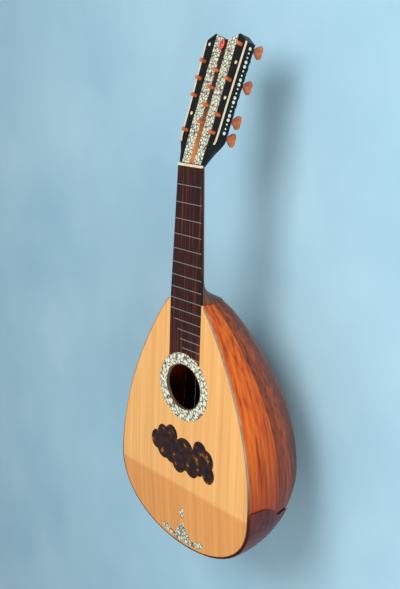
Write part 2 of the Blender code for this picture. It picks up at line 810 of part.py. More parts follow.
def make_board_trim():
    """The edge strip, rosette, hole lining, pickguard and crest."""
    outer = body_outline(0.0, JOINT_Y - BINDING_START)
    inner = body_outline(BINDING_WIDTH, JOINT_Y - BINDING_START)
    binding = plate("edge_binding", [outer + list(reversed(inner))], 0.0, BOARD_THICKNESS)
    bend_at_crease(binding)
    finish(binding, BONE, 0.4)
    hole = oval(HOLE_CENTRE_Y, HOLE_HALF_WIDTH, HOLE_HALF_LENGTH)
    wall = HOLE_LINING_WALL
    wall_outer = oval(HOLE_CENTRE_Y, HOLE_HALF_WIDTH + wall, HOLE_HALF_LENGTH + wall)
    lining = plate("hole_lining", [wall_outer, hole], 0.0, HOLE_LINING_DEPTH)
    finish(lining, PALE_WOOD, 0.5)
    reach = HOLE_LINING_WALL + GAP
    rosette_inner = oval(HOLE_CENTRE_Y, HOLE_HALF_WIDTH + reach, HOLE_HALF_LENGTH + reach)
    rosette_outer = oval(HOLE_CENTRE_Y, ROSETTE_HALF_WIDTH, ROSETTE_HALF_LENGTH)
    finish(plate("rosette", [rosette_outer, rosette_inner], 0.0, ROSETTE_THICKNESS), PEARL, 0.3)
    finish(make_guard("pickguard", 0.0, 0.0, GUARD_THICKNESS), TORTOISE, 0.2)
    for name, shape in crest_outlines():
        piece = plate(name, [shape], 0.0, CREST_THICKNESS)
        bend_at_crease(piece)
        finish(piece, PEARL, 0.3)


def fret_start(number):
    """Where a fret begins on the bass side."""
    return PARTIAL_FRET_STARTS.get(number, -(fingerboard_half(fret_y(number)) - FRET_END_INSET))


def fret_wire(number):
    """One fret: a bar with a rounded crown, sunk into the fretboard."""
    y = fret_y(number)
    end = fingerboard_half(y) - FRET_END_INSET
    half = FRET_WIDTH / 2.0
    section = [(-half, -FRET_TANG), (half, -FRET_TANG)]
    for i in range(FRET_CROWN_STEPS + 1):
        angle = math.pi * i / FRET_CROWN_STEPS
        section.append((half * math.cos(angle), FRET_CROWN * math.sin(angle)))
    rings = []
    for x in (fret_start(number), end):
        rings.append([Vector((x, y + across, height)) for across, height in section])
    return loft("fret_%02d" % number, rings)


def make_fingerboard():
    """The fretboard with its thin end on the body and its frets."""
    end_gap = GAP
    nut_y = SCALE_LENGTH - end_gap
    neck_y = JOINT_Y + end_gap
    half_nut = fingerboard_half(nut_y)
    half_neck = fingerboard_half(neck_y)
    half_body = FINGERBOARD_HALF_AT_JOINT
    on_neck = [(-half_nut, nut_y), (-half_neck, neck_y), (half_neck, neck_y), (half_nut, nut_y)]
    board = plate("fretboard", [on_neck], 0.0, FINGERBOARD_THICKNESS)
    overlap = FINGERBOARD_THICKNESS
    extension = plate("extension", [[
        (-half_body, neck_y), (-half_body, HOLE_CENTRE_Y), (half_body, HOLE_CENTRE_Y),
        (half_body, neck_y), (half_neck - end_gap, neck_y + overlap),
        (-half_neck + end_gap, neck_y + overlap),
    ]], 0.0, EXTENSION_THICKNESS)
    boolean(board, extension, "UNION")
    bpy.data.objects.remove(extension)
    ring = plate(
        "rosette_clearance",
        [oval(HOLE_CENTRE_Y, ROSETTE_HALF_WIDTH + GAP, ROSETTE_HALF_LENGTH + GAP)],
        THROUGH, EXTENSION_THICKNESS + 2.0 * THROUGH)
    boolean(board, as_cutter(ring))
    for number in range(1, FRETS + 1):
        wire = fret_wire(number)
        boolean(board, wire, "UNION")
        bpy.data.objects.remove(wire)
    finish(board, ROSEWOOD, 0.4)


def make_nut():
    """The nut, on the end of the neck between the fretboard and the head."""
    half = FINGERBOARD_HALF_AT_NUT
    bottom = NECK_TOP_Z + GAP
    nut = box("nut", (-half, SCALE_LENGTH, bottom), (half, HEAD_Y - GAP, NUT_RISE))
    bevel_edges(nut, NUT_BEVEL, 1)
    finish(nut, BONE, 0.4)


def neck_section(half, depth, power, steps):
    """Half-round section under the neck, from the treble edge round to the bass edge."""
    points = []
    for i in range(steps + 1):
        angle = math.pi * i / steps
        cosine = math.cos(angle)
        x = math.copysign(half * abs(cosine) ** (2.0 / power), cosine)
        z = -depth * max(math.sin(angle), 0.0) ** (2.0 / power)
        points.append((x, z))
    return points


def make_neck():
    """The neck with its heel, flat on top, and cut to the head's tilt at its end."""
    heel_top = JOINT_Y + HEEL_LENGTH
    places = []
    for i in range(HEEL_STATIONS + 1):
        places.append(JOINT_Y + GAP + (heel_top - JOINT_Y - GAP) * i / HEEL_STATIONS)
    middle = (heel_top + SCALE_LENGTH) / 2.0
    places += [middle, SCALE_LENGTH]
    rings = []
    for y in places:
        curl = max((heel_top - y) / HEEL_LENGTH, 0.0) ** HEEL_CURVE
        along = min((SCALE_LENGTH - y) / (SCALE_LENGTH - heel_top), 1.0)
        depth = NECK_DEPTH_AT_NUT + (NECK_DEPTH_AT_HEEL - NECK_DEPTH_AT_NUT) * along
        depth += (HEEL_DEPTH - NECK_DEPTH_AT_HEEL) * curl
        power = NECK_SECTION_POWER + (SECTION_POWER - NECK_SECTION_POWER) * curl
        half = fingerboard_half(y) + (JOINT_WIDTH / 2.0 - FINGERBOARD_HALF_AT_JOINT) * curl
        section = neck_section(half, depth, power, SECTION_STEPS)
        rings.append([Vector((x, y, NECK_TOP_Z + z)) for x, z in section])
    last = neck_section(FINGERBOARD_HALF_AT_NUT, NECK_DEPTH_AT_NUT, NECK_SECTION_POWER, SECTION_STEPS)
    end = []
    for x, z in last:
        below_face = NECK_TOP_Z + z + HEAD_FACE_BELOW_BOARD
        end.append(Vector((x, HEAD_Y - 2.0 * GAP + below_face * math.tan(HEAD_TILT), NECK_TOP_Z + z)))
    rings[-1] = end
    finish(loft("neck", rings), NECK_BROWN, 0.35)


def head_half(s):
    """Half the head's width at a distance from the nut."""
    for (s0, half0), (s1, half1) in zip(HEAD_HALF_WIDTHS, HEAD_HALF_WIDTHS[1:]):
        if s <= s1:
            return half0 + (half1 - half0) * (s - s0) / (s1 - s0)
    return HEAD_HALF_WIDTHS[-1][1]


def head_places():
    """Places along the head where its section is set."""
    return [HEAD_LENGTH * i / (HEAD_STATIONS - 1) for i in range(HEAD_STATIONS)]


def head_section(s):
    """Section of the head, which changes from the neck's round back to a flat one."""
    blend = min(s / HEAD_FLARE_END, 1.0)
    half = head_half(s)
    depth = HEAD_FOOT_DEPTH + (HEAD_THICKNESS - HEAD_FOOT_DEPTH) * blend
    wave = math.cos(2.0 * math.pi * (s - PEG_FIRST_ROW) / (PEG_PITCH / 2.0))
    corner_depth = depth - blend * SCALLOP_HEIGHT * (1.0 + wave) / 2.0
    round_back = neck_section(half, depth, NECK_SECTION_POWER, SECTION_STEPS)
    quarter = SECTION_STEPS // 4
    points = []
    for i, (x, z) in enumerate(round_back):
        from_edge = min(i, SECTION_STEPS - i)
        side = 1.0 if i <= SECTION_STEPS // 2 else -1.0
        if from_edge <= quarter:
            flat = (side * half, -corner_depth * from_edge / quarter)
        else:
            share = (from_edge - quarter) / (SECTION_STEPS // 2 - quarter)
            flat = (side * half * (1.0 - share), -depth)
        points.append(Vector((x + (flat[0] - x) * blend, s, FACE_N + z + (flat[1] - z) * blend)))
    return points


def strip_outline(inner, outer, start):
    """Outline of a lengthwise strip on the head's treble half, between two width functions."""
    places = [start] + [s for s in head_places() if s > start]
    inside = [(inner(s), s) for s in places]
    outside = [(outer(s), s) for s in reversed(places)]
    return inside + outside


def mirrored(outline):
    """An outline on the other side of the centre line."""
    return [(-x, y) for x, y in outline]


def pearl_outer(s):
    """Outer edge of the pearl strips."""
    share = min(s / PEARL_STRAIGHT_FROM, 1.0)
    return PEARL_OUTER_AT_NUT + (PEARL_OUTER - PEARL_OUTER_AT_NUT) * share


def black_outer(s):
    """Outer edge of the black strips: the head's edge, or the pale line beside it."""
    if s < EDGE_LINE_START:
        return head_half(s)
    return head_half(s) - EDGE_LINE_WIDTH - GAP


def column_x(s):
    """Distance of the outer peg holes from the centre line."""
    share = (s - PEG_FIRST_ROW) / ((PEG_ROWS - 1) * PEG_PITCH)
    return PEG_COLUMN_FIRST + (PEG_COLUMN_LAST - PEG_COLUMN_FIRST) * share


def peg_places():
    """The pegs' names and places on the head; the outer columns have some places without a peg."""
    places = []
    for side, sign, rows in (("treble", 1.0, TREBLE_PEG_ROWS), ("bass", -1.0, BASS_PEG_ROWS)):
        for row in rows:
            s = PEG_FIRST_ROW + row * PEG_PITCH
            places.append(("peg_%s_%d" % (side, row + 1), sign * column_x(s), s))
    for row in range(MIDDLE_PEGS):
        s = PEG_FIRST_ROW + (row + 0.5) * PEG_PITCH
        places.append(("peg_middle_%d" % (row + 1), 0.0, s))
    return places


def crown_cutter(frame):
    """What is cut away above the head's chamfered corners and its notch."""
    top = HEAD_LENGTH + THROUGH
    slope = (HEAD_LENGTH - CHAMFER_START) / (CHAMFER_TOP_HALF_WIDTH - CHAMFER_HALF_WIDTH)
    wide = 1.5 * CHAMFER_HALF_WIDTH
    wide_s = CHAMFER_START + slope * (wide - CHAMFER_HALF_WIDTH)
    outline = [
        (wide, wide_s), (CHAMFER_TOP_HALF_WIDTH, HEAD_LENGTH), (0.0, NOTCH_S),
        (-CHAMFER_TOP_HALF_WIDTH, HEAD_LENGTH), (-wide, wide_s), (-wide, top), (wide, top),
    ]
    return as_cutter(plate("crown_cutter", [outline], THROUGH, 2.0 * HEAD_THICKNESS, frame))


def make_veneer(frame, edge):
    """The black veneer on the head's face, with the beds for the strips inlaid in it."""
    start = VENEER_START
    veneer = plate(
        "head_veneer", [strip_outline(lambda s: -head_half(s), head_half, start)],
        0.0, VENEER_THICKNESS, frame)
    bed_depth = INLAY_THICKNESS + GAP + THROUGH
    pearl_bed = strip_outline(
        lambda s: -(pearl_outer(s) + GAP), lambda s: pearl_outer(s) + GAP, -THROUGH)
    beds = [plate("pearl_bed", [pearl_bed], THROUGH, bed_depth, frame)]
    for sign, name in ((1.0, "edge_bed_treble"), (-1.0, "edge_bed_bass")):
        bed = [(sign * x, s) for x, s in strip_outline(
            lambda s: edge(s) - GAP, lambda s: head_half(s) + THROUGH, EDGE_LINE_START)]
        beds.append(plate(name, [bed], THROUGH, bed_depth, frame))
    for bed in beds:
        boolean(veneer, as_cutter(bed))
    return veneer


def make_head(frame):
    """The head, and the veneer and strips on its face."""
    rods = []
    for name, x, s in peg_places():
        rods.append(((x, s, THROUGH), (x, s, -2.0 * HEAD_THICKNESS), HOLE_RADIUS))
    holes = as_cutter(cylinders("peg_hole_cutter", rods, PEG_SIDES, frame))
    crown = crown_cutter(frame)
    body = loft("head", [head_section(s) for s in head_places()], frame)
    veneer = make_veneer(frame, lambda s: head_half(s) - EDGE_LINE_WIDTH)
    pearl = strip_outline(lambda s: STRIPE_HALF_WIDTH + GAP, pearl_outer, VENEER_START)
    edge = strip_outline(lambda s: head_half(s) - EDGE_LINE_WIDTH, head_half, EDGE_LINE_START + GAP)
    half = STRIPE_HALF_WIDTH
    stripe = [(half, VENEER_START), (half, HEAD_LENGTH), (-half, HEAD_LENGTH), (-half, VENEER_START)]
    strips = (
        ("head_stripe", stripe, TORTOISE),
        ("pearl_strip_treble", pearl, PEARL),
        ("pearl_strip_bass", mirrored(pearl), PEARL),
        ("edge_line_treble", edge, BONE),
        ("edge_line_bass", mirrored(edge), BONE),
    )
    pieces = [(body, EBONY), (veneer, EBONY)]
    for name, outline, colour in strips:
        pieces.append((plate(name, [outline], 0.0, INLAY_THICKNESS, frame), colour))
    for piece, colour in pieces:
        boolean(piece, crown)
        if piece.name in ("head", "head_veneer", "head_stripe"):
            boolean(piece, holes)
        finish(piece, colour, 0.3)


def make_peg_mesh():
    """One peg along Z: its tip up, its shaft down through the head, and a flat thumb-piece."""
    back = -(HEAD_THICKNESS + VENEER_THICKNESS + 2.0 * GAP)
    tip = PEG_TIP_RISE
    thumb_top = -(THUMB_CENTRE - THUMB_HALF_LENGTH)
    profile = [
        (0.0, tip), (PEG_RADIUS * 0.7, tip - PEG_TIP_DOME * 0.3), (PEG_RADIUS, tip - PEG_TIP_DOME),
        (PEG_RADIUS, back), (PEG_COLLAR_RADIUS, back),
        (PEG_COLLAR_RADIUS, back - PEG_COLLAR_LENGTH),
        (PEG_WAIST_RADIUS, thumb_top), (PEG_WAIST_RADIUS, -THUMB_CENTRE), (0.0, -THUMB_CENTRE),
    ]
    peg = turned("peg_pattern", profile, PEG_SIDES)
    outline = []
    steps = 9
    for i in range(steps + 1):
        share = i / steps
        height = thumb_top - 1.6 * THUMB_HALF_LENGTH * share
        flare = math.sin(math.pi / 2.0 * share) ** 2
        half = THUMB_NECK_HALF_WIDTH + (THUMB_HALF_WIDTH - THUMB_NECK_HALF_WIDTH) * flare
        outline.append((half, height))
    low = thumb_top - 2.0 * THUMB_HALF_LENGTH
    outline.append((THUMB_HALF_WIDTH * 0.82, low + THUMB_HALF_LENGTH * 0.12))
    outline.append((THUMB_HALF_WIDTH * 0.45, low - THUMB_HALF_LENGTH * 0.08))
    outline.append((0.0, low))
    outline += [(-x, y) for x, y in reversed(outline[:-1])]
    thumb = plate("thumb_pattern", [outline], THUMB_THICKNESS / 2.0, THUMB_THICKNESS)
    bevel_edges(thumb, THUMB_BEVEL, 1)
    for vertex in thumb.data.vertices:
        across, height, thick = vertex.co
        vertex.co = (thick, across, height)
    boolean(peg, thumb, "UNION")
    mesh = peg.data
    bpy.data.objects.remove(thumb)
    bpy.data.objects.remove(peg)
    return mesh


def make_pegs(frame):
    """The pegs, each with its origin on its own axis."""
    mesh = make_peg_mesh()
    for name, x, s in peg_places():
        peg = add_object(name, mesh.copy(), frame)
        peg.location = (x, s, 0.0)
        finish(peg, PEG_ORANGE, 0.35)


def make_head_frame():
    """The empty at the nut that carries the tilted head."""
    frame = bpy.data.objects.new("head_frame", None)
    PARTS.objects.link(frame)
    frame.location = (0.0, HEAD_Y, -HEAD_FACE_BELOW_BOARD)
    frame.rotation_euler = (-HEAD_TILT, 0.0, 0.0)
    return frame


def build():
    """Make every part."""
    core = make_bowl_core()
    make_soundboard()
    make_board_trim()
    make_ribs()
    make_tail_cap()
    make_blocks(core)
    make_linings()
    make_braces()
    make_neck()
    make_fingerboard()
    make_nut()
    frame = make_head_frame()
    make_head(frame)
    make_pegs(frame)


clear_scene()
PARTS = new_collection("mandolone")
CUTTERS = new_collection("cutters")
build()
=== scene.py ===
"""The mandolone's looks: finishes, fret wires, inlaid pieces, camera and light."""
import math

import bmesh
import bpy
from mathutils import Matrix, Vector


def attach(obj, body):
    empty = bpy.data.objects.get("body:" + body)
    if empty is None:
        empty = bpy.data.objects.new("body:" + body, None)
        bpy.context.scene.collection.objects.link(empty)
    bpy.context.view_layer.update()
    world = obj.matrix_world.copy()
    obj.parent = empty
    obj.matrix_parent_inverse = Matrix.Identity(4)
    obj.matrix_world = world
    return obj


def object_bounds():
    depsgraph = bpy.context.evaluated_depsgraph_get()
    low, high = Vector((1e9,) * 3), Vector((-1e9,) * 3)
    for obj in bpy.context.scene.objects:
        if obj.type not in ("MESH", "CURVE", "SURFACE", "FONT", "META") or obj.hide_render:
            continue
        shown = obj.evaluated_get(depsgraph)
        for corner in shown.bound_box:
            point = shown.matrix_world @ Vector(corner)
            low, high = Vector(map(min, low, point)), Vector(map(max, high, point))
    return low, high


MM = 0.001
BODY = "instrument"

# Fretboard, repeated from the part's driving dimensions
SCALE_LENGTH = 560.0 * MM
NUT_HALF_WIDTH = 31.9 * MM
EXTRA_HALF_WIDTH = 11.2 * MM
WIDENING_LENGTH = 227.0 * MM
FRET_COUNT = 15
SEMITONES = 12.0
SHORT_FRET_STARTS = {11: -30.0 * MM, 12: -19.0 * MM, 13: -12.0 * MM, 14: -5.0 * MM, 15: 30.0 * MM}
FRET_END_GAP = 0.3 * MM
FRET_WIRE_RADIUS = 1.0 * MM
FRET_WIRE_AXIS_HEIGHT = 0.2 * MM

# Soundboard
HOLE_CENTRE_Y = 180.0 * MM
ROSETTE_MIDDLE_X = 58.5 * MM
ROSETTE_MIDDLE_Y = 50.0 * MM
CREASE_Y = -4.0 * MM
CREASE_BLEND = 4.0 * MM
BACK_RIB_COUNT = 21

# Head: s runs up its face from the nut, n stands out of its face
HEAD_Y = 564.5 * MM
HEAD_Z = -3.0 * MM
HEAD_TILT = math.radians(18.0)
PEG_FIRST_ROW = 55.0 * MM
PEG_PITCH = 29.7 * MM
HEAD_HALF_WIDTHS = (
    (0.0 * MM, 32.0 * MM), (20.0 * MM, 37.5 * MM), (32.0 * MM, 43.5 * MM), (42.0 * MM, 47.3 * MM),
    (55.0 * MM, 48.4 * MM), (105.0 * MM, 49.3 * MM), (160.0 * MM, 51.6 * MM), (222.0 * MM, 54.0 * MM))

# Pearl dots on the head's sides, two large and two small between each two pegs
DOT_BAYS = 5
DOTS_PER_BAY = 4
LARGE_DOTS = (0, 3)
LARGE_DOT_RADIUS = 2.9 * MM
SMALL_DOT_RADIUS = 1.7 * MM
DOT_RISE = 0.5 * MM
DOT_DEPTH = 11.0 * MM

# Plugs of the peg holes that have no peg, as side and row
EMPTY_HOLES = ((1.0, 4), (1.0, 2), (-1.0, 5), (-1.0, 1))
HOLE_FIRST_X = 36.5 * MM
HOLE_STEP_X = 1.0 * MM
PLUG_RADIUS = 3.0 * MM
PLUG_RISE = 0.8 * MM

# Raised curls of the rosette, in two staggered rows
CURL_COUNT = 34
CURL_OFFSET = 4.2 * MM
CURL_TURN = 0.9
CURL_SIZE = (2.1 * MM, 5.2 * MM, 0.35 * MM)

# Ribbon ring at the notch
RIBBON_X = -6.0 * MM
RIBBON_S = 203.0 * MM
RIBBON_N = 2.0 * MM
RIBBON_RADIUS = 4.6 * MM
RIBBON_THICKNESS = 1.7 * MM
RIBBON_STRETCH = 1.4
RIBBON_STEPS = 28
RIBBON_SIDES = 12

# Smoothness of small pieces
DOME_SEGMENTS = 20
DOME_RINGS = 10
CURL_SEGMENTS = 16
CURL_RINGS = 8
WIRE_SIDES = 16
SHARP_ANGLE = math.radians(40.0)

# Shared values of the finishes
SOFT_SHINE = 0.25
COAT_ROUGHNESS = 0.12
GRAIN_DETAIL = 6.0
CLOUD_DETAIL = 3.0
CLOUD_COARSENESS = 7.0
CLOUD_WEIGHT = 0.8
CLOUD_STOPS = ((0.3, (0.80, 0.74, 0.70)), (0.6, (1.0, 1.0, 1.0)))
GRAIN_BUMP = 0.3
PATCH_DETAIL = 3.0
PATCH_BUMP = 0.15
FINE_RELIEF = 0.05 * MM

# Tone of each back rib, from a wave over the ribs' numbers
MIDDLE_TONE = 0.75
TONE_SWING = 0.25
TONE_STEP = 1.7

# Mother-of-pearl in mastic
BEND_SCALE = 0.7
BEND_DETAIL = 2.0
BEND_WEIGHT = 0.35
MASTIC = (0.10, 0.06, 0.03)
MASTIC_LINE_STOPS = ((0.05, (0.0, 0.0, 0.0)), (0.12, (1.0, 1.0, 1.0)))
PEARL_STOPS = ((0.1, (0.88, 0.86, 0.66)), (0.7, (0.55, 0.60, 0.45)))
PEARL_ROUGHNESS = 0.28
PEARL_BUMP = 0.2
PEARL_RELIEF = 0.1 * MM

# Sockets of Blender's colour mix node
MIX_FACTOR = 0
MIX_COLOURS = (6, 7)
MIX_RESULT = 2

# Camera at the photograph's place
CAMERA_PLACE = (1.3158, 0.7192, 0.9992)
CAMERA_RIGHT = (0.6104, 0.0313, -0.7916)
CAMERA_UP = (-0.1938, 0.9748, -0.1109)
CAMERA_BACK = (0.7681, 0.2210, 0.6010)
CAMERA_LENS = 90.0
SENSOR_WIDTH = 36.0

# Floor and light; each lamp has a name, place, size and energy
FLOOR_REACH = 6.0
FLOOR_DROP = 1.0 * MM
LAMPS = (("key", (0.5, 1.4, 2.0), 1.2, 40.0), ("fill", (2.2, -0.4, 0.9), 1.2, 34.0))
LAMP_TARGET = (0.0, 0.1, -0.05)
SKY_COLOUR = (0.85, 0.92, 1.0, 1.0)
SKY_STRENGTH = 0.4

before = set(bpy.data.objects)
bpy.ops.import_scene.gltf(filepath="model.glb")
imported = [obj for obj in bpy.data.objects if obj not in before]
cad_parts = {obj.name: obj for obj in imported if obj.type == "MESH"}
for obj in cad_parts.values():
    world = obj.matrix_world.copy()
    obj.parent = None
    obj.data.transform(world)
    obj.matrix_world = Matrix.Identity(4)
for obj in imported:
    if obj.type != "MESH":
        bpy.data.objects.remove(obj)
cad_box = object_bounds()


# Shader helpers

def new_material(name):
    """A material with its node tree and its shader."""
    material = bpy.data.materials.new(name)
    material.use_nodes = True
    tree = material.node_tree
    return material, tree, tree.nodes["Principled BSDF"]


def node(tree, kind, links, **values):
    """A node with some inputs linked and others set."""
    made = tree.nodes.new(kind)
    for key, value in values.items():
        made.inputs[key].default_value = value
    for key, socket in links:
        tree.links.new(socket, made.inputs[key])
    return made


def ramp(tree, factor, stops):
    """A colour ramp over a factor."""
    made = tree.nodes.new("ShaderNodeValToRGB")
    elements = made.color_ramp.elements
    while len(elements) < len(stops):
        elements.new(0.5)
    for element, (place, colour) in zip(elements, stops):
        element.position = place
        element.color = (*colour, 1.0)
    tree.links.new(factor, made.inputs["Fac"])
    return made.outputs["Color"]


def stretched(tree, scale):
    """Object coordinates, scaled differently along each axis."""
    place = tree.nodes.new("ShaderNodeTexCoord")
    mapping = node(tree, "ShaderNodeMapping", [("Vector", place.outputs["Object"])], Scale=scale)
    return mapping.outputs["Vector"]


def noise(tree, scale, detail):
    """Cloudy noise over stretched object coordinates."""
    where = stretched(tree, scale)
    made = node(tree, "ShaderNodeTexNoise", [("Vector", where)], Scale=1.0, Detail=detail)
    return made.outputs["Fac"]


def add_bump(tree, shader, height, strength, distance):
    """Fine relief from a height."""
    bump = node(tree, "ShaderNodeBump", [("Height", height)], Strength=strength, Distance=distance)
    tree.links.new(bump.outputs["Normal"], shader.inputs["Normal"])


def mixed(tree, factor, first, second, mode="MIX"):
    """Two colours mixed by a factor, each given as a value or as a socket."""
    made = tree.nodes.new("ShaderNodeMix")
    made.data_type = "RGBA"
    made.blend_type = mode
    if isinstance(factor, float):
        made.inputs[MIX_FACTOR].default_value = factor
    else:
        tree.links.new(factor, made.inputs[MIX_FACTOR])
    for index, value in zip(MIX_COLOURS, (first, second)):
        if isinstance(value, tuple):
            made.inputs[index].default_value = (*value, 1.0)
        else:
            tree.links.new(value, made.inputs[index])
    return made.outputs[MIX_RESULT]


def along_y(tree, start, end):
    """Zero at one place along the instrument, one at another."""
    place = tree.nodes.new("ShaderNodeTexCoord")
    parts = node(tree, "ShaderNodeSeparateXYZ", [("Vector", place.outputs["Object"])])
    spread = tree.nodes.new("ShaderNodeMapRange")
    spread.inputs["From Min"].default_value = start
    spread.inputs["From Max"].default_value = end
    tree.links.new(parts.outputs["Y"], spread.inputs["Value"])
    return spread.outputs["Result"]


# Kinds of finish

def wood(name, stops, scale, roughness, coat=0.0, fade=None):
    """Wood with lengthwise grain; fade is the start, end and colour of a change along it."""
    material, tree, shader = new_material(name)
    grain = noise(tree, scale, GRAIN_DETAIL)
    cloud = noise(tree, tuple(value / CLOUD_COARSENESS for value in scale), CLOUD_DETAIL)
    colour = mixed(tree, CLOUD_WEIGHT, ramp(tree, grain, stops), ramp(tree, cloud, CLOUD_STOPS), "MULTIPLY")
    if fade:
        start, end, tone = fade
        colour = mixed(tree, along_y(tree, start, end), colour, tone, "MULTIPLY")
    tree.links.new(colour, shader.inputs["Base Color"])
    shader.inputs["Roughness"].default_value = roughness
    shader.inputs["Specular IOR Level"].default_value = SOFT_SHINE
    shader.inputs["Coat Weight"].default_value = coat
    shader.inputs["Coat Roughness"].default_value = COAT_ROUGHNESS
    add_bump(tree, shader, grain, GRAIN_BUMP, FINE_RELIEF)
    return material


def patched(name, stops, scale, roughness, metallic=0.0):
    """A mottled material, such as tortoiseshell, aged bone or worn metal."""
    material, tree, shader = new_material(name)
    patches = noise(tree, scale, PATCH_DETAIL)
    tree.links.new(ramp(tree, patches, stops), shader.inputs["Base Color"])
    shader.inputs["Roughness"].default_value = roughness
    shader.inputs["Metallic"].default_value = metallic
    shader.inputs["Specular IOR Level"].default_value = SOFT_SHINE
    add_bump(tree, shader, patches, PATCH_BUMP, FINE_RELIEF)
    return material


def pearl_in_mastic(name, size):
    """Small curved pieces of mother-of-pearl with dark lines of mastic between them."""
    material, tree, shader = new_material(name)
    where = stretched(tree, (1.0 / size, 1.0 / size, 1.0 / size))
    bend = node(tree, "ShaderNodeTexNoise", [("Vector", where)], Scale=BEND_SCALE, Detail=BEND_DETAIL)
    bent = mixed(tree, BEND_WEIGHT, where, bend.outputs["Color"])
    edges = node(tree, "ShaderNodeTexVoronoi", [("Vector", bent)], Scale=1.0)
    edges.feature = "DISTANCE_TO_EDGE"
    cells = node(tree, "ShaderNodeTexVoronoi", [("Vector", bent)], Scale=1.0)
    inside = ramp(tree, edges.outputs["Distance"], MASTIC_LINE_STOPS)
    pearl = ramp(tree, cells.outputs["Distance"], PEARL_STOPS)
    tree.links.new(mixed(tree, inside, MASTIC, pearl), shader.inputs["Base Color"])
    shader.inputs["Roughness"].default_value = PEARL_ROUGHNESS
    add_bump(tree, shader, edges.outputs["Distance"], PEARL_BUMP, PEARL_RELIEF)
    return material


# Each material

def spruce():
    """Aged spruce; below the crease a painted shade makes it darker and redder."""
    stops = ((0.3, (0.84, 0.41, 0.12)), (0.5, (0.91, 0.47, 0.155)), (0.7, (0.95, 0.53, 0.19)))
    # painted shade: the fade darkens and reddens the board below the crease
    fade = (CREASE_Y + CREASE_BLEND, CREASE_Y - CREASE_BLEND, (0.88, 0.74, 0.62))
    return wood("spruce", stops, (420.0, 6.0, 40.0), roughness=0.42, coat=0.1, fade=fade)


def side_wood():
    """The wide side ribs, orange-red and darker toward the tail."""
    stops = ((0.25, (0.22, 0.015, 0.002)), (0.45, (0.68, 0.095, 0.004)), (0.7, (0.86, 0.19, 0.008)))
    fade = (0.16, -0.07, (0.20, 0.04, 0.06))
    return wood("side_rib", stops, (60.0, 5.0, 150.0), roughness=0.35, coat=0.08, fade=fade)


def back_wood(index):
    """One of the narrow back ribs, each with its own tone."""
    tone = MIDDLE_TONE + TONE_SWING * math.sin(TONE_STEP * index)
    stops = ((0.3, (0.16 * tone, 0.016, 0.003)), (0.6, (0.50 * tone, 0.075 * tone, 0.006)))
    fade = (0.18, -0.10, (0.40, 0.25, 0.40))
    name = "rib_%02d_wood" % (index + 1)
    return wood(name, stops, (150.0, 6.0, 150.0), roughness=0.4, coat=0.12, fade=fade)


def cap_wood():
    """Dark purplish-red wood of the tail cap."""
    stops = ((0.3, (0.05, 0.007, 0.006)), (0.7, (0.17, 0.018, 0.014)))
    return wood("cap_wood", stops, (90.0, 30.0, 90.0), roughness=0.4, coat=0.15)


def neck_wood():
    """Brown wood of the neck."""
    stops = ((0.3, (0.09, 0.022, 0.006)), (0.7, (0.26, 0.08, 0.03)))
    return wood("neck_wood", stops, (180.0, 8.0, 180.0), roughness=0.45, coat=0.1)


def rosewood():
    """Dark fretboard with reddish streaks."""
    stops = ((0.3, (0.008, 0.003, 0.004)), (0.5, (0.028, 0.006, 0.005)), (0.68, (0.15, 0.026, 0.012)))
    return wood("rosewood", stops, (260.0, 7.0, 100.0), roughness=0.5)


def bare_wood_painted_shade():
    """Unfinished wood inside the bowl, darkened with painted shade; the real wood is paler."""
    # painted shade: dark stops so the inside of the bowl reads black through the sound hole
    stops = ((0.3, (0.10, 0.055, 0.025)), (0.7, (0.20, 0.12, 0.06)))
    return wood("bare_wood_painted_shade", stops, (200.0, 10.0, 200.0), roughness=0.8)


def binding_wood_painted_highlight():
    """Edge strip of dark wood, with a painted highlight that makes it tan near the neck; dark below."""
    # painted highlight: the tan stops stand for light on the rounded edge; the fade brings the strip to its
    # own dark colour below
    stops = ((0.3, (0.34, 0.20, 0.12)), (0.7, (0.50, 0.34, 0.24)))
    fade = (0.10, 0.0, (0.10, 0.06, 0.05))
    return wood("binding_wood_painted_highlight", stops, (200.0, 8.0, 200.0), roughness=0.5, fade=fade)


def stripe_shell():
    """Centre stripe of the head, amber at the nut and nearly black above."""
    stops = ((0.3, (0.42, 0.10, 0.015)), (0.7, (0.72, 0.24, 0.035)))
    fade = (0.585, 0.67, (0.05, 0.03, 0.08))
    return wood("stripe_shell", stops, (120.0, 60.0, 60.0), roughness=0.2, coat=0.5, fade=fade)


def peg_wood():
    """Orange-brown pegs."""
    stops = ((0.3, (0.42, 0.09, 0.025)), (0.7, (0.78, 0.22, 0.07)))
    return wood("peg_wood", stops, (200.0, 200.0, 60.0), roughness=0.35, coat=0.4)


def ebony():
    """Black of the head."""
    stops = ((0.3, (0.002, 0.002, 0.002)), (0.8, (0.008, 0.006, 0.006)))
    return patched("ebony", stops, (200.0, 40.0, 200.0), roughness=0.45)


def tortoiseshell():
    """Nearly black shell with amber patches."""
    stops = ((0.42, (0.008, 0.005, 0.004)), (0.6, (0.05, 0.010, 0.005)), (0.72, (0.50, 0.20, 0.03)))
    return patched("tortoiseshell", stops, (75.0, 75.0, 75.0), roughness=0.16)


def aged_bone():
    """Yellowed bone."""
    stops = ((0.3, (0.66, 0.52, 0.34)), (0.7, (0.84, 0.74, 0.54)))
    return patched("bone", stops, (300.0, 60.0, 300.0), roughness=0.4)


def plain_pearl():
    """Single pieces of mother-of-pearl."""
    stops = ((0.3, (0.62, 0.60, 0.44)), (0.7, (0.90, 0.88, 0.74)))
    return patched("pearl", stops, (260.0, 260.0, 260.0), roughness=0.2)


def fret_metal():
    """Worn pale metal."""
    worn = (0.432, 0.396, 0.33)
    stops = ((0.3, worn), (0.7, (0.72, 0.66, 0.55)))
    return patched("fret_metal", stops, (900.0, 900.0, 900.0), roughness=0.35, metallic=1.0)


def red_silk():
    """Red ribbon."""
    stops = ((0.3, (0.55, 0.04, 0.04)), (0.7, (0.85, 0.15, 0.12)))
    return patched("silk", stops, (400.0, 400.0, 400.0), roughness=0.6)


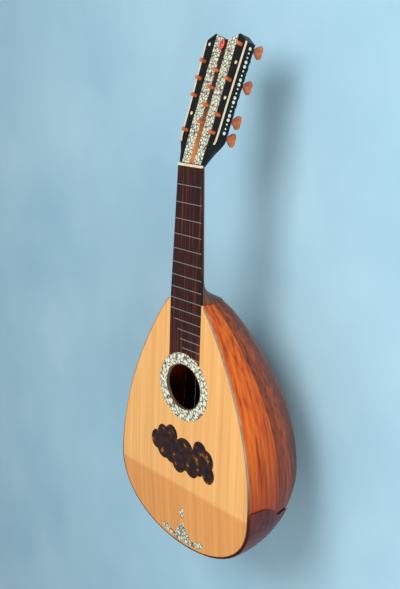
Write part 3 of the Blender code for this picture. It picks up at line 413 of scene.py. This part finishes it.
def floor_cloth():
    """Pale blue cloth."""
    stops = ((0.3, (0.34, 0.56, 0.68)), (0.7, (0.44, 0.66, 0.76)))
    return patched("floor_cloth", stops, (3.0, 3.0, 3.0), roughness=0.9)


def dress(material, *names):
    """Give CAD nodes a material."""
    for name in names:
        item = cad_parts[name]
        item.data.materials.clear()
        item.data.materials.append(material)


def dress_cad():
    """Finish of every CAD node."""
    dress(spruce(), "soundboard")
    dress(side_wood(), "rib_side_treble", "rib_side_bass")
    for index in range(BACK_RIB_COUNT):
        dress(back_wood(index), "rib_%02d" % (index + 1))
    dress(cap_wood(), "tail_cap")
    dress(neck_wood(), "neck")
    dress(rosewood(), "fretboard")
    dress(bare_wood_painted_shade(), "tail_block", "neck_block", "lining_treble", "lining_bass", "hole_lining",
          "brace_upper", "brace_middle", "brace_lower")
    dress(ebony(), "head", "head_veneer")
    dress(tortoiseshell(), "pickguard")
    dress(stripe_shell(), "head_stripe")
    dress(pearl_in_mastic("pearl_rosette", 5.0 * MM), "rosette")
    dress(pearl_in_mastic("pearl_strips", 3.6 * MM), "pearl_strip_treble", "pearl_strip_bass")
    dress(pearl_in_mastic("pearl_crest", 4.4 * MM), "crest_lozenge", "crest_cluster")
    dress(binding_wood_painted_highlight(), "edge_binding")
    dress(peg_wood(), *[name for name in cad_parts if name.startswith("peg_")])


# Pieces that are only looks

def add_piece(name, shape, material):
    """A new piece from mesh code, riding on the instrument."""
    mesh = bpy.data.meshes.new(name)
    shape.to_mesh(mesh)
    shape.free()
    mesh.materials.append(material)
    mesh.shade_smooth()
    mesh.set_sharp_from_angle(angle=SHARP_ANGLE)
    item = bpy.data.objects.new(name, mesh)
    bpy.context.scene.collection.objects.link(item)
    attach(item, BODY)


def head_point(x, s, n):
    """A place given on the tilted head, in the frame's axes."""
    y = HEAD_Y + s * math.cos(HEAD_TILT) + n * math.sin(HEAD_TILT)
    z = HEAD_Z - s * math.sin(HEAD_TILT) + n * math.cos(HEAD_TILT)
    return Vector((x, y, z))


def head_half_width(s):
    """Half the head's width at a place along it."""
    for (s0, half0), (s1, half1) in zip(HEAD_HALF_WIDTHS, HEAD_HALF_WIDTHS[1:]):
        if s <= s1:
            break
    return half0 + (half1 - half0) * (s - s0) / (s1 - s0)


def fretboard_half_width(y):
    """Half the fretboard's width at a place along the instrument."""
    return NUT_HALF_WIDTH + EXTRA_HALF_WIDTH * min((SCALE_LENGTH - y) / WIDENING_LENGTH, 1.0)


def add_dome(shape, centre, axis, radius, rise):
    """A low dome on a surface."""
    place = axis.to_track_quat("Z", "Y").to_matrix().to_4x4()
    place.translation = centre
    size = Matrix.Diagonal((radius, radius, rise, 1.0))
    bmesh.ops.create_uvsphere(
        shape, u_segments=DOME_SEGMENTS, v_segments=DOME_RINGS, radius=1.0, matrix=place @ size)


def make_side_dots(pearl):
    """Large and small pearl dots along both sides of the head."""
    shape = bmesh.new()
    for bay in range(DOT_BAYS):
        for i in range(DOTS_PER_BAY):
            s = PEG_FIRST_ROW + (bay + (i + 0.5) / DOTS_PER_BAY) * PEG_PITCH
            radius = LARGE_DOT_RADIUS if i in LARGE_DOTS else SMALL_DOT_RADIUS
            for side in (1.0, -1.0):
                centre = head_point(side * head_half_width(s), s, -DOT_DEPTH)
                add_dome(shape, centre, Vector((side, 0.0, 0.0)), radius, DOT_RISE)
    add_piece("side_dots", shape, pearl)


def make_plugs(bone):
    """Pale plugs where the head has no peg."""
    shape = bmesh.new()
    out_of_face = Vector((0.0, math.sin(HEAD_TILT), math.cos(HEAD_TILT)))
    for side, row in EMPTY_HOLES:
        centre = head_point(side * (HOLE_FIRST_X + row * HOLE_STEP_X), PEG_FIRST_ROW + row * PEG_PITCH, 0.0)
        add_dome(shape, centre, out_of_face, PLUG_RADIUS, PLUG_RISE)
    add_piece("hole_plugs", shape, bone)


def make_fret_wires(metal):
    """A thin round metal crown over each fret."""
    for number in range(1, FRET_COUNT + 1):
        y = SCALE_LENGTH * 2.0 ** (-number / SEMITONES)
        end = fretboard_half_width(y) - FRET_END_GAP
        start = SHORT_FRET_STARTS.get(number, -end)
        shape = bmesh.new()
        place = Matrix.Rotation(math.pi / 2.0, 4, "Y")
        place.translation = Vector(((start + end) / 2.0, y, FRET_WIRE_AXIS_HEIGHT))
        bmesh.ops.create_cone(
            shape, cap_ends=True, segments=WIRE_SIDES, radius1=FRET_WIRE_RADIUS,
            radius2=FRET_WIRE_RADIUS, depth=end - start, matrix=place)
        add_piece("fret_wire_%02d" % number, shape, metal)


def make_rosette_curls(pearl):
    """Raised curls of pearl round the sound hole."""
    shape = bmesh.new()
    for i in range(CURL_COUNT):
        angle = 2.0 * math.pi * i / CURL_COUNT
        row = 1.0 if i % 2 else -1.0
        x = (ROSETTE_MIDDLE_X + row * CURL_OFFSET) * math.cos(angle)
        y = HOLE_CENTRE_Y + (ROSETTE_MIDDLE_Y + row * CURL_OFFSET) * math.sin(angle)
        place = Matrix.Rotation(angle + row * CURL_TURN, 4, "Z")
        place.translation = Vector((x, y, 0.0))
        size = Matrix.Diagonal((*CURL_SIZE, 1.0))
        bmesh.ops.create_uvsphere(
            shape, u_segments=CURL_SEGMENTS, v_segments=CURL_RINGS, radius=1.0, matrix=place @ size)
    add_piece("rosette_curls", shape, pearl)


def ribbon_point(step, side):
    """A place on the ribbon's oval ring."""
    around = 2.0 * math.pi * step / RIBBON_STEPS
    across = 2.0 * math.pi * side / RIBBON_SIDES
    reach = RIBBON_RADIUS + RIBBON_THICKNESS * math.cos(across)
    x = RIBBON_X + reach * math.cos(around)
    s = RIBBON_S + RIBBON_STRETCH * reach * math.sin(around)
    return head_point(x, s, RIBBON_N + RIBBON_THICKNESS * math.sin(across))


def make_ribbon(silk):
    """The small red ribbon, as an oval ring at the head's notch."""
    shape = bmesh.new()
    rings = [[shape.verts.new(ribbon_point(step, side)) for side in range(RIBBON_SIDES)]
             for step in range(RIBBON_STEPS)]
    for ring, following in zip(rings, rings[1:] + rings[:1]):
        for j in range(RIBBON_SIDES):
            k = (j + 1) % RIBBON_SIDES
            shape.faces.new((ring[j], following[j], following[k], ring[k]))
    bmesh.ops.recalc_face_normals(shape, faces=shape.faces)
    add_piece("ribbon", shape, silk)


def add_looks():
    """The pieces that only the looks need, and the CAD nodes of the same bone."""
    bone = aged_bone()
    pearl = plain_pearl()
    dress(bone, "nut", "edge_line_treble", "edge_line_bass")
    make_side_dots(pearl)
    make_plugs(bone)
    make_fret_wires(fret_metal())
    make_rosette_curls(pearl)
    make_ribbon(red_silk())


# Floor, camera and light

def make_floor():
    """Pale blue floor that fills the picture."""
    mesh = bpy.data.meshes.new("floor")
    shape = bmesh.new()
    bmesh.ops.create_grid(shape, x_segments=1, y_segments=1, size=FLOOR_REACH)
    shape.to_mesh(mesh)
    shape.free()
    mesh.materials.append(floor_cloth())
    floor = bpy.data.objects.new("floor", mesh)
    floor.location = (0.0, 0.0, cad_box[0][2] - FLOOR_DROP)
    bpy.context.scene.collection.objects.link(floor)


def make_camera():
    """The photograph's camera."""
    camera = bpy.data.objects.new("camera", bpy.data.cameras.new("camera"))
    camera.data.sensor_fit = "HORIZONTAL"
    camera.data.sensor_width = SENSOR_WIDTH
    camera.data.lens = CAMERA_LENS
    place = Matrix((CAMERA_RIGHT, CAMERA_UP, CAMERA_BACK)).transposed().to_4x4()
    place.translation = Vector(CAMERA_PLACE)
    camera.matrix_world = place
    bpy.context.scene.collection.objects.link(camera)
    bpy.context.scene.camera = camera


def make_lights():
    """Two soft lamps and a pale sky."""
    for name, place, size, energy in LAMPS:
        lamp = bpy.data.lights.new(name, "AREA")
        lamp.size = size
        lamp.energy = energy
        light = bpy.data.objects.new(name, lamp)
        light.location = place
        aim = Vector(LAMP_TARGET) - Vector(place)
        light.rotation_euler = aim.to_track_quat("-Z", "Y").to_euler()
        bpy.context.scene.collection.objects.link(light)
    world = bpy.data.worlds.new("studio")
    world.use_nodes = True
    background = world.node_tree.nodes["Background"]
    background.inputs["Color"].default_value = SKY_COLOUR
    background.inputs["Strength"].default_value = SKY_STRENGTH
    bpy.context.scene.world = world


dress_cad()
add_looks()
make_floor()
make_camera()
make_lights()
bpy.context.scene.view_settings.view_transform = "Standard"
